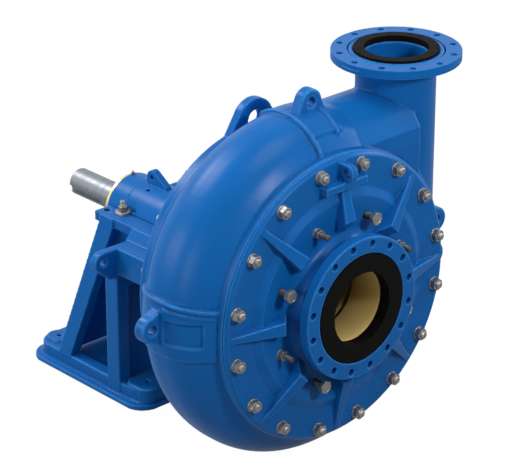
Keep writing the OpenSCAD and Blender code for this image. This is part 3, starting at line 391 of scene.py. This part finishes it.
def soft_material(name, pale, rough, patches, pebble, depth):
    tree, skin, (cast,) = start_material(
        name, rough, 0.0, (("Cast skin", (("Patches", patches), ("Pebble", pebble))),))
    tree.links.new(mix_colours(tree, cast.outputs["Mottle"], shade(pale, 0.75), shade(pale, 1.3)),
                   skin.inputs["Base Color"])
    tree.links.new(spread(tree, cast.outputs["Mottle"], 0.0, 1.0, rough - 0.05, rough + 0.08),
                   skin.inputs["Roughness"])
    skin.inputs["Specular IOR Level"].default_value = 0.06
    bump(tree, cast.outputs["Height"], skin, 0.3, depth)


# Mesh helpers

def stack(rings, sides, closed=False):
    """Skin through rings, each a function of the angle that gives (radius, height)."""
    verts = []
    for ring in rings:
        for i in range(sides):
            a = 2 * math.pi * i / sides
            r, h = ring(a)
            verts.append((r * math.cos(a), r * math.sin(a), h))
    faces = []
    count = len(rings)
    for k in range(count if closed else count - 1):
        for i in range(sides):
            j = (i + 1) % sides
            m = (k + 1) % count
            faces.append((k * sides + i, k * sides + j, m * sides + j, m * sides + i))
    if not closed:
        faces.append(tuple(range(sides - 1, -1, -1)))
        faces.append(tuple((count - 1) * sides + i for i in range(sides)))
    return verts, faces


def hex_radius(flats, a):
    return flats / 2 / math.cos((a + math.pi / 6) % (math.pi / 3) - math.pi / 6)


def nut_skin(flats, height, bore):
    """Hexagon nut, chamfered on both faces, about Z from 0 up."""
    face_r = flats / 2 * 0.97

    def low(a):
        r = hex_radius(flats, a)
        return r, (r - face_r) * CHAMFER

    def high(a):
        r = hex_radius(flats, a)
        return r, height - (r - face_r) * CHAMFER

    rings = [lambda a: (bore, BROKEN_EDGE), lambda a: (bore + BROKEN_EDGE, 0.0),
             lambda a: (face_r, 0.0), low, high, lambda a: (face_r, height),
             lambda a: (bore + BROKEN_EDGE, height), lambda a: (bore, height - BROKEN_EDGE)]
    return stack(rings, 36, closed=True)


def head_skin(flats, height):
    """Hexagon bolt head, chamfered on top, with a washer face below."""
    face_r = flats / 2 * 0.96

    def high(a):
        r = hex_radius(flats, a)
        return r, height - (r - face_r) * CHAMFER

    rings = [lambda a: (face_r, 0.0), lambda a: (face_r, WASHER_FACE),
             lambda a: (hex_radius(flats, a), WASHER_FACE), high, lambda a: (face_r, height),
             lambda a: (face_r * 0.8, height), lambda a: (face_r * 0.76, height - WASHER_FACE)]
    return stack(rings, 36)


def washer_skin(outer, bore, height):
    """Punched washer with one rounded rim."""
    lip = min(BROKEN_EDGE, height * 0.3)
    rings = [lambda a: (bore, 0.0), lambda a: (outer - lip * 0.4, 0.0), lambda a: (outer, lip * 0.4),
             lambda a: (outer, height - lip), lambda a: (outer - lip * 0.4, height - lip * 0.35),
             lambda a: (outer - lip, height), lambda a: (bore, height)]
    return stack(rings, 40, closed=True)


def stud_skin(radius, height, threaded, sizes):
    """Stud about Z from 0 up, with a helical thread on its top length and a chamfered end."""
    pitch = sizes.thread_pitch * radius / THREAD_RADIUS
    depth = sizes.thread_depth * radius / THREAD_RADIUS
    bevel = radius * 0.22

    def at(h):
        def ring(a):
            turn = (h / pitch - a / (2 * math.pi)) % 1.0
            cut = depth * (1.0 - abs(2.0 * turn - 1.0)) if h > height - threaded else depth * 0.5
            return min(radius - cut, radius + height - bevel - h), h
        return ring

    rings = [at(0.0), at(height - threaded)]
    steps = max(8, int(threaded / pitch * 5))
    rings += [at(height - threaded + threaded * (i + 1) / steps) for i in range(steps)]
    return stack(rings, 24)


def socket_skin(radius, height, flats):
    """Socket screw about Z from 0 up, with a hexagon recess in its end."""
    deep = flats * 0.6
    bevel = BROKEN_EDGE / 2
    rings = [lambda a: (radius, 0.0), lambda a: (radius, height - bevel),
             lambda a: (radius - bevel, height), lambda a: (hex_radius(flats, a), height),
             lambda a: (hex_radius(flats, a), height - deep)]
    return stack(rings, 36)


def nipple_skin(radius, flats, hex_low, hex_high, height):
    """Grease nipple about Z from 0 up: shank, hexagon, waist and ball end."""
    ball = radius * 0.66

    def hexagon(h):
        return lambda a: (hex_radius(flats, a), h)

    def plain(r, h):
        return lambda a: (r, h)

    neck = hex_high + (height - hex_high) * 0.35
    return stack([plain(radius, 0.0), plain(radius, hex_low), hexagon(hex_low), hexagon(hex_high),
                  plain(ball, hex_high), plain(ball * 0.72, neck), plain(ball, height - ball * 1.1),
                  plain(ball * 0.95, height - ball * 0.6), plain(ball * 0.5, height)], 36)


def bolt_parts(matrix, size, deep, sizes):
    """Shank and hexagon head of one bolt of a size, built along the matrix's own Z."""
    shank = deep - HEAD[size]
    return [(stud_skin(SHANK[size], shank, min(shank * 0.5, 0.03), sizes), matrix),
            (head_skin(FLATS[size], HEAD[size]), matrix @ Matrix.Translation((0, 0, shank)))]


def join_skins(skins):
    verts = []
    faces = []
    for skin, matrix in skins:
        shift = len(verts)
        verts += [tuple(matrix @ Vector(v)) for v in skin[0]]
        faces += [tuple(i + shift for i in face) for face in skin[1]]
    return verts, faces


def mesh_object(name, verts, faces):
    mesh = bpy.data.meshes.new(name)
    mesh.from_pydata(verts, [], faces)
    mesh.update()
    obj = bpy.data.objects.new(name, mesh)
    bpy.context.scene.collection.objects.link(obj)
    return obj


def clean_normals(mesh):
    bm = bmesh.new()
    bm.from_mesh(mesh)
    bmesh.ops.recalc_face_normals(bm, faces=bm.faces)
    bm.to_mesh(mesh)
    bm.free()


def lumps(node):
    """Separate solids of a CAD node as (lowest corner, highest corner), in the row frame."""
    bm = bmesh.new()
    bm.from_mesh(frame["nodes"][node].data)
    bmesh.ops.remove_doubles(bm, verts=bm.verts, dist=1e-5)
    bm.verts.ensure_lookup_table()
    seen = set()
    found = []
    for start in bm.verts:
        if start.index in seen:
            continue
        seen.add(start.index)
        todo = [start]
        points = []
        while todo:
            vert = todo.pop()
            points.append(vert.co.copy())
            for edge in vert.link_edges:
                other = edge.other_vert(vert)
                if other.index not in seen:
                    seen.add(other.index)
                    todo.append(other)
        cloud = np.array([tuple(p) for p in points])
        found.append((Vector(cloud.min(0)), Vector(cloud.max(0))))
    bm.free()
    return found


def store_bend(mesh):
    """Curvature of the skin as a point attribute: above 0 on rounded edges, below 0 in corners."""
    count = len(mesh.vertices)
    places = np.empty(count * 3)
    mesh.vertices.foreach_get("co", places)
    places = places.reshape(-1, 3)
    normals = np.empty(count * 3)
    mesh.vertex_normals.foreach_get("vector", normals)
    normals = normals.reshape(-1, 3)
    edges = np.empty(len(mesh.edges) * 2, int)
    mesh.edges.foreach_get("vertices", edges)
    edges = edges.reshape(-1, 2)

    def average(values):
        total = np.zeros_like(values)
        number = np.zeros(count)
        for a, b in ((0, 1), (1, 0)):
            np.add.at(total, edges[:, a], values[edges[:, b]])
            np.add.at(number, edges[:, a], 1)
        return total / np.maximum(number, 1).reshape((-1,) + (1,) * (values.ndim - 1))

    spans = np.linalg.norm(places[edges[:, 0]] - places[edges[:, 1]], axis=1)
    near = max(1e-6, float(np.median(spans)))
    bend = np.einsum("ij,ij->i", places - average(places), normals) / near * 6.0
    for _ in range(2):
        bend = 0.5 * bend + 0.5 * average(bend)
    layer = mesh.attributes.get("bend") or mesh.attributes.new("bend", "FLOAT", "POINT")
    layer.data.foreach_set("value", np.clip(bend, -1, 1).astype(np.float32))


def dress(piece, nodes, slot):
    """Gives a piece its finish and puts it on the body of the CAD nodes that it stands for."""
    piece.data.materials.clear()
    piece.data.materials.append(finish(slot))
    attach(piece, frame["nodes"][nodes[0]]["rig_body"])
    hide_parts(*nodes)


def cast_piece(node, grain, passes):
    """Sand casting over a CAD node: its solid with rounded edges and filled corners."""
    source = frame["nodes"][node]
    mesh = source.data.copy()
    bm = bmesh.new()
    bm.from_mesh(mesh)
    bmesh.ops.remove_doubles(bm, verts=bm.verts, dist=1e-5)
    bm.to_mesh(mesh)
    bm.free()
    work = bpy.data.objects.new(node + "_work", mesh)
    bpy.context.scene.collection.objects.link(work)
    skin = work.modifiers.new("Skin", "REMESH")
    skin.mode = "VOXEL"
    skin.voxel_size = grain
    skin.use_smooth_shade = True
    soft = work.modifiers.new("Soften", "SMOOTH")
    soft.factor = 0.5
    soft.iterations = passes
    evaluated = work.evaluated_get(bpy.context.evaluated_depsgraph_get())
    made = bpy.data.meshes.new_from_object(evaluated)
    bpy.data.objects.remove(work)
    made.name = node + "_casting"
    made.materials.clear()
    store_bend(made)
    made.shade_smooth()
    piece = bpy.data.objects.new(node + "_casting", made)
    bpy.context.scene.collection.objects.link(piece)
    dress(piece, [node], "blue_paint")


def along(direction, place):
    """Matrix that puts a skin built about Z along a direction, from a place."""
    facing = Vector(direction).to_track_quat("Z", "X").to_matrix().to_4x4()
    return Matrix.Translation(place) @ facing


def hex_turn(matrix, centre, axis_point):
    """Turn about the skin's own Z that points a corner of the hexagon away from the axis."""
    out = matrix.to_3x3().inverted() @ (centre - axis_point)
    return math.atan2(out.y, out.x)


def shaft_point(place):
    return Vector((0.0, place.y, SHAFT_HEIGHT))


def place_row(node, make, towards):
    """One skin for each solid of a node. make(width, length) gives the skin, towards is its axis."""
    skins = []
    way = Vector(towards)
    for low, high in lumps(node):
        middle = (low + high) / 2
        size = high - low
        deep = abs(size.dot(way))
        across = max(side for side, share in zip(size, way) if abs(share) < 0.5)
        foot = middle - way * deep / 2
        matrix = along(towards, foot)
        if abs(way.y) > 0.5:
            matrix = matrix @ Matrix.Rotation(hex_turn(matrix, middle, shaft_point(middle)), 4, "Z")
        skins.append((make(across, deep), matrix))
    return skins


def fastener_piece(name, nodes, skins, slot):
    verts, faces = join_skins(skins)
    piece = mesh_object(name, verts, faces)
    clean_normals(piece.data)
    store_bend(piece.data)
    piece.data.shade_smooth()
    piece.data.set_sharp_from_angle(angle=math.radians(32))
    dress(piece, nodes, slot)


class PUMP_OT_finishes(bpy.types.Operator):
    """Make the paint, plating, rubber and metal finishes, and put them on the CAD nodes"""
    bl_idname = "pump.finishes"
    bl_label = "Finishes"

    def execute(self, context):
        hues = context.scene.pump_colours
        cast_skin_group()
        edge_group()
        turned_group()
        paint_material(hues)
        zinc = tuple(hues.zinc)
        shank = tuple(hues.shank)
        iron = tuple(hues.iron)
        steel = tuple(hues.steel)
        plated_material("zinc", zinc, tuple(c * 0.7 for c in zinc), rough=0.38, metal=0.85)
        plated_material("shank", shank, tuple(c * 0.5 for c in shank), rough=0.45, metal=0.8)
        soft_material("rubber", tuple(hues.rubber), rough=0.62, patches=30.0, pebble=500.0, depth=0.0006)
        bore_material(hues)
        plated_material("hard_iron", iron, tuple(c * 0.6 for c in iron), rough=0.6, metal=0.7)
        plated_material("bare_iron", tuple(c * 1.3 for c in iron), iron, rough=0.5, metal=0.8)
        soft_material("packing", tuple(hues.packing), rough=0.8, patches=60.0, pebble=300.0, depth=0.001)
        turned_material("shaft_steel", steel, rough=0.42, metal=0.75, marks=420.0)
        turned_material("bearing_steel", tuple(c * 1.3 for c in steel), rough=0.25, metal=0.95, marks=700.0)
        turned_material("brass", tuple(hues.brass), rough=0.35, metal=0.8, marks=500.0)
        for slot, nodes in FINISHES.items():
            for node in nodes:
                mesh = frame["nodes"][node].data
                mesh.materials.clear()
                mesh.materials.append(finish(slot))
        return {"FINISHED"}


class PUMP_OT_casing(bpy.types.Operator):
    """Volute casing with cast fillets"""
    bl_idname = "pump.casing"
    bl_label = "Volute casing"

    def execute(self, context):
        cast_piece("volute_casing", context.scene.pump_sizes.casing_grain, 5)
        return {"FINISHED"}


class PUMP_OT_cover(bpy.types.Operator):
    """Suction cover with its ribs, lifting eye and bare name bar"""
    bl_idname = "pump.cover"
    bl_label = "Suction cover"

    def execute(self, context):
        cast_piece("cover_plate", context.scene.pump_sizes.cover_grain, 4)
        return {"FINISHED"}


class PUMP_OT_frame(bpy.types.Operator):
    """Cast frame and the frame plate behind the casing"""
    bl_idname = "pump.frame"
    bl_label = "Frame and frame plate"

    def execute(self, context):
        sizes = context.scene.pump_sizes
        cast_piece("base_frame", sizes.base_grain, 4)
        cast_piece("frame_plate", sizes.base_grain, 3)
        return {"FINISHED"}


class PUMP_OT_discharge(bpy.types.Operator):
    """Two halves of the loose discharge flange"""
    bl_idname = "pump.discharge"
    bl_label = "Discharge flange"

    def execute(self, context):
        for node in ("discharge_flange_front", "discharge_flange_back"):
            cast_piece(node, context.scene.pump_sizes.small_grain, 2)
        return {"FINISHED"}


class PUMP_OT_cartridge(bpy.types.Operator):
    """Bearing housing with its lifting lug, and the end covers"""
    bl_idname = "pump.cartridge"
    bl_label = "Bearing cartridge"

    def execute(self, context):
        grain = context.scene.pump_sizes.small_grain
        for node in ("bearing_housing", "pump_end_cover", "drive_end_cover"):
            cast_piece(node, grain, 3)
        return {"FINISHED"}


class PUMP_OT_cover_bolting(bpy.types.Operator):
    """Studs, nuts and washers of the cover and the frame plate"""
    bl_idname = "pump.cover_bolting"
    bl_label = "Cover bolting"

    def execute(self, context):
        sizes = context.scene.pump_sizes
        washer_bore = 0.016
        threaded = 0.016

        def nut(size):
            return lambda across, deep: nut_skin(FLATS[size], deep, THREAD[size])

        def washer(across, deep):
            return washer_skin(across / 2, washer_bore, deep)

        def stud(across, deep):
            return stud_skin(across / 2, deep, threaded, sizes)

        for node, make, way in (("cover_nuts", nut("M30"), FRONT), ("rear_nuts", nut("M20"), BACK),
                                ("cover_washers", washer, FRONT),
                                ("cover_studs", stud, FRONT), ("rear_studs", stud, BACK)):
            fastener_piece(node + "_cut", [node], place_row(node, make, way), "zinc")
        return {"FINISHED"}


class PUMP_OT_adjusters(bpy.types.Operator):
    """Studs and bolts that set and hold the throatbush"""
    bl_idname = "pump.adjusters"
    bl_label = "Throatbush adjusters"

    def execute(self, context):
        sizes = context.scene.pump_sizes
        stud_threaded = 0.058
        washer_r = 0.022
        washer_bore = 0.0125
        washer_t = 0.004
        bolt_r = 0.0143
        bolt_threaded = 0.045
        bolt_head = 0.020
        bolt_flats = 0.050

        def stud(across, deep):
            return stud_skin(across / 2, deep, stud_threaded, sizes)

        fastener_piece("throatbush_studs_cut", ["throatbush_studs"],
                       place_row("throatbush_studs", stud, FRONT), "shank")
        nuts = []
        for low, high in lumps("throatbush_nuts"):
            middle = (low + high) / 2
            matrix = along(FRONT, Vector((middle.x, high.y, middle.z)))
            turn = Matrix.Rotation(hex_turn(matrix, middle, shaft_point(middle)), 4, "Z")
            lift = Matrix.Translation((0, 0, washer_t))
            nuts.append((washer_skin(washer_r, washer_bore, washer_t), matrix))
            nuts.append((nut_skin(FLATS["M24"], high.y - low.y - washer_t, THREAD["M24"]),
                         matrix @ turn @ lift))
        fastener_piece("throatbush_nuts_cut", ["throatbush_nuts"], nuts, "zinc")

        bolts = []
        heads = []
        for low, high in lumps("adjusting_bolts"):
            middle = (low + high) / 2
            matrix = along(FRONT, Vector((middle.x, high.y, middle.z)))
            turn = Matrix.Rotation(hex_turn(matrix, middle, shaft_point(middle)), 4, "Z")
            deep = high.y - low.y
            lift = Matrix.Translation((0, 0, deep - bolt_head))
            bolts.append((stud_skin(bolt_r, deep - bolt_head + 0.001, bolt_threaded, sizes), matrix))
            heads.append((head_skin(bolt_flats, bolt_head), matrix @ turn @ lift))
        fastener_piece("adjusting_bolt_heads", ["adjusting_bolts"], heads, "zinc")
        fastener_piece("adjusting_bolt_shanks", ["adjusting_bolts"], bolts, "shank")
        return {"FINISHED"}


class PUMP_OT_clamps(bpy.types.Operator):
    """Clamp studs, washers and nuts that hold the bearing cartridge"""
    bl_idname = "pump.clamps"
    bl_label = "Cradle clamps"

    def execute(self, context):
        sizes = context.scene.pump_sizes
        threaded = 0.03
        washer_bore = 0.0128
        skins = {
            "clamp_studs": lambda across, deep: stud_skin(across / 2, deep, threaded, sizes),
            "clamp_washers": lambda across, deep: washer_skin(across / 2, washer_bore, deep),
            "clamp_nuts": lambda across, deep: nut_skin(FLATS["M24"], deep, THREAD["M24"]),
        }
        for node, make in skins.items():
            fastener_piece(node + "_cut", [node], place_row(node, make, UP), "zinc")
        return {"FINISHED"}


class PUMP_OT_rear_bolting(bpy.types.Operator):
    """Bolts behind the casing: frame plate, shaft seal, end covers and cartridge screw"""
    bl_idname = "pump.rear_bolting"
    bl_label = "Rear bolting"

    def execute(self, context):
        sizes = context.scene.pump_sizes

        def foot(low, high, way):
            middle = (low + high) / 2
            return along(way, Vector((middle.x, low.y if way[1] > 0 else high.y, middle.z)))

        plate = []
        for low, high in lumps("frame_plate_bolts"):
            plate += bolt_parts(foot(low, high, BACK), "M24", high.y - low.y, sizes)
        fastener_piece("frame_plate_bolts_cut", ["frame_plate_bolts"], plate, "zinc")

        # The gland's studs are longer than the screws of the stuffing box and carry a nut
        seal = []
        longest_screw = 0.08
        past_gland = 0.024
        gland_nut = 0.013
        gland_threaded = 0.04
        for low, high in lumps("gland_studs"):
            deep = high.y - low.y
            matrix = foot(low, high, BACK)
            if deep > longest_screw:
                lift = Matrix.Translation((0, 0, deep - past_gland))
                seal.append((stud_skin(SHANK["M16"], deep, gland_threaded, sizes), matrix))
                seal.append((nut_skin(FLATS["M16"], gland_nut, THREAD["M16"]), matrix @ lift))
            else:
                seal += bolt_parts(matrix, "M16", deep, sizes)
        fastener_piece("gland_studs_cut", ["gland_studs"], seal, "zinc")

        # The pump end cover has hexagon bolts, and the drive end cover narrower socket screws
        covers = []
        widest_socket = 0.013
        socket_r = 0.0049
        socket_flats = 0.005
        for low, high in lumps("end_cover_bolts"):
            deep = high.y - low.y
            if high.x - low.x > widest_socket:
                covers += bolt_parts(foot(low, high, FRONT), "M10", deep, sizes)
            else:
                covers.append((socket_skin(socket_r, deep, socket_flats), foot(low, high, BACK)))
        fastener_piece("end_cover_bolts_cut", ["end_cover_bolts"], covers, "zinc")

        screw = []
        for low, high in lumps("cartridge_adjuster"):
            screw += bolt_parts(foot(low, high, BACK), "M20", high.y - low.y, sizes)
        fastener_piece("cartridge_adjuster_cut", ["cartridge_adjuster"], screw, "zinc")

        def nipple(across, deep):
            return nipple_skin(radius=0.0058, flats=0.0155, hex_low=0.0145, hex_high=0.0225, height=deep)

        fastener_piece("grease_nipples_cut", ["grease_nipples"],
                       place_row("grease_nipples", nipple, UP), "zinc")
        return {"FINISHED"}


class PUMP_OT_stage(bpy.types.Operator):
    """Camera, lamps, floor and surroundings"""
    bl_idname = "pump.stage"
    bl_label = "Stage"

    def execute(self, context):
        values = context.scene.pump_stage
        scene = context.scene
        camera = bpy.data.cameras.new("photo_camera")
        camera.lens = values.lens
        camera.sensor_width = 36.0
        camera.sensor_fit = "HORIZONTAL"
        camera.clip_end = 100.0
        holder = bpy.data.objects.new("photo_camera", camera)
        holder.location = CAMERA_PLACE
        holder.rotation_euler = Euler((CAMERA_TILT, 0, CAMERA_TURN))
        scene.collection.objects.link(holder)
        scene.camera = holder
        scene.view_settings.view_transform = "Standard"

        world = bpy.data.worlds.new("pale_room")
        world.use_nodes = True
        scene.world = world
        tree = world.node_tree
        back = tree.nodes["Background"]
        back.inputs["Color"].default_value = (0.9, 0.95, 1.0, 1.0)
        back.inputs["Strength"].default_value = values.sky
        white = tree.nodes.new("ShaderNodeBackground")
        white.inputs["Color"].default_value = (1, 1, 1, 1)
        mix = tree.nodes.new("ShaderNodeMixShader")
        tree.links.new(seen_rays(tree, 1.0), mix.inputs[0])
        tree.links.new(back.outputs[0], mix.inputs[1])
        tree.links.new(white.outputs[0], mix.inputs[2])
        tree.links.new(mix.outputs[0], tree.nodes["World Output"].inputs[0])

        floor = bpy.data.materials.new("floor_white")
        floor.use_nodes = True
        grains = floor.node_tree
        skin = grains.nodes["Principled BSDF"]
        skin.inputs["Base Color"].default_value = tuple(values.floor) + (1.0,)
        skin.inputs["Roughness"].default_value = 0.9
        skin.inputs["Specular IOR Level"].default_value = 0.1
        glow = grains.nodes.new("ShaderNodeEmission")
        glow.inputs["Strength"].default_value = values.glow
        share = maths(grains, "MULTIPLY", seen_rays(grains, values.mirrored), values.whiteness)
        blend = grains.nodes.new("ShaderNodeMixShader")
        grains.links.new(share, blend.inputs[0])
        grains.links.new(skin.outputs[0], blend.inputs[1])
        grains.links.new(glow.outputs[0], blend.inputs[2])
        grains.links.new(blend.outputs[0], grains.nodes["Material Output"].inputs[0])
        level = cad_box[0][2] - FLOOR_GAP
        verts = [(x * FLOOR_HALF, y * FLOOR_HALF, level) for x, y in ((-1, -1), (1, -1), (1, 1), (-1, 1))]
        sheet = mesh_object("floor", verts, [(0, 1, 2, 3)])
        sheet.data.materials.append(floor)

        aim = Vector((0.0, -0.6, 0.7))
        for name, place, size, power in (
                ("top_soft", (0.2, -1.7, 4.6), 2.0, 46),
                ("back_soft", (-1.1, 2.6, 4.1), 1.6, 125),
                ("left_soft", (-5.0, -1.4, 2.2), 2.0, 62),
                ("frame_soft", (-3.7, 1.7, 2.2), 1.6, 44),
                ("right_soft", (4.2, -2.2, 3.0), 1.6, 50),
                ("front_soft", (0.2, -4.6, 3.3), 0.7, 84)):
            lamp = bpy.data.lights.new(name, "AREA")
            lamp.shape = "DISK"
            lamp.size = size
            lamp.energy = power
            holder = bpy.data.objects.new(name, lamp)
            holder.location = place
            holder.rotation_euler = (Vector(place) - aim).to_track_quat("Z", "Y").to_euler()
            scene.collection.objects.link(holder)
        return {"FINISHED"}


class PUMP_PT_panel(bpy.types.Panel):
    """Steps that dress the pump"""
    bl_label = "Pump"
    bl_idname = "PUMP_PT_panel"
    bl_space_type = "VIEW_3D"
    bl_region_type = "UI"
    bl_category = "Pump"

    def draw(self, context):
        layout = self.layout
        for group in ("pump_colours", "pump_sizes", "pump_stage"):
            values = getattr(context.scene, group)
            for name in values.bl_rna.properties.keys():
                if name not in ("rna_type", "name"):
                    layout.prop(values, name)
        for step in STEPS:
            layout.operator(step.bl_idname)


STEPS = (PUMP_OT_finishes, PUMP_OT_casing, PUMP_OT_cover, PUMP_OT_frame, PUMP_OT_discharge,
         PUMP_OT_cartridge, PUMP_OT_cover_bolting, PUMP_OT_adjusters, PUMP_OT_clamps,
         PUMP_OT_rear_bolting, PUMP_OT_stage)
CLASSES = (PumpColours, PumpSizes, PumpStage) + STEPS + (PUMP_PT_panel,)


def register():
    for kind in CLASSES:
        bpy.utils.register_class(kind)
    bpy.types.Scene.pump_colours = bpy.props.PointerProperty(type=PumpColours)
    bpy.types.Scene.pump_sizes = bpy.props.PointerProperty(type=PumpSizes)
    bpy.types.Scene.pump_stage = bpy.props.PointerProperty(type=PumpStage)


def unregister():
    del bpy.types.Scene.pump_colours
    del bpy.types.Scene.pump_sizes
    del bpy.types.Scene.pump_stage
    for kind in reversed(CLASSES):
        bpy.utils.unregister_class(kind)


def main():
    register()
    for step in STEPS:
        group, name = step.bl_idname.split(".")
        getattr(getattr(bpy.ops, group), name)()


if __name__ == "__main__":
    main()
